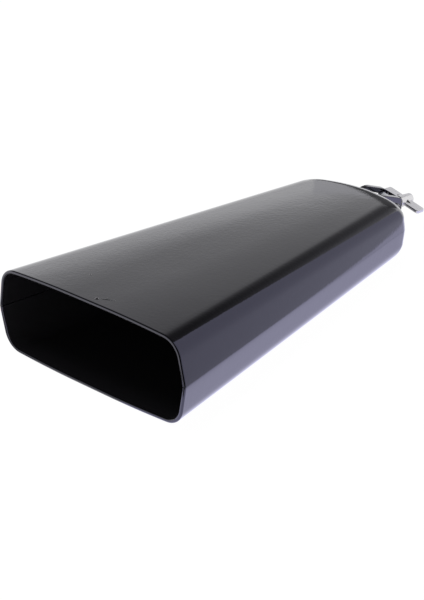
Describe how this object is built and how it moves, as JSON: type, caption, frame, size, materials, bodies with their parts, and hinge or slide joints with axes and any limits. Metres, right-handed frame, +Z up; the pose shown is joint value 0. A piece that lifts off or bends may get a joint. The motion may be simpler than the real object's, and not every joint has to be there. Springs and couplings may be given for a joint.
{
  "type": "cowbell",
  "caption": "Black enamelled steel cowbell, flat-sided and tapered, with a welded bracket whose wing bolt clamps it to a mounting rod.",
  "frame": {"origin": "under the middle of the bounding box, on the surface that the bell lies on", "axes": "+Y along the bell from its open mouth to its closed end and bracket, +X to the right when looking from the mouth to the closed end, +Z up"},
  "size_m": [0.1274, 0.2508, 0.0474],
  "materials": {
    "bell_enamel": "gloss black enamel over pressed steel",
    "bracket_enamel": "gloss black enamel over bent plate and weld",
    "zinc_plate": "bright zinc plate",
    "nickel_cast": "nickel plated casting"
  },
  "bodies": {
    "bell": {"upper_half_shell": "bell_enamel", "lower_half_shell": "bell_enamel", "side_seam_right": "bell_enamel", "side_seam_left": "bell_enamel", "end_seam": "bell_enamel", "mount_bracket": "bracket_enamel", "bracket_weld_right": "bracket_enamel", "bracket_weld_left": "bracket_enamel"},
    "clamp": {"clamp_plate": "zinc_plate"},
    "wing_bolt": {"wing_bolt_shank": "zinc_plate", "wing_bolt_head": "nickel_cast"}
  },
  "joints": [
    {"name": "clamp_slide", "type": "slide", "parent": "bell", "child": "clamp", "axis": [0.165, 0.9857, -0.0328], "range_m": [-0.0024, 0.0016]},
    {"name": "wing_turn", "type": "hinge", "parent": "clamp", "child": "wing_bolt", "pos_m": [0.00442, 0.11877, 0.01339], "axis": [0.165, 0.9857, -0.0328], "range_deg": [-864, 576]}
  ],
  "couplings": [
    {"joint": "wing_turn", "follows": "clamp_slide", "rad_per_m": 6283.2}
  ]
}
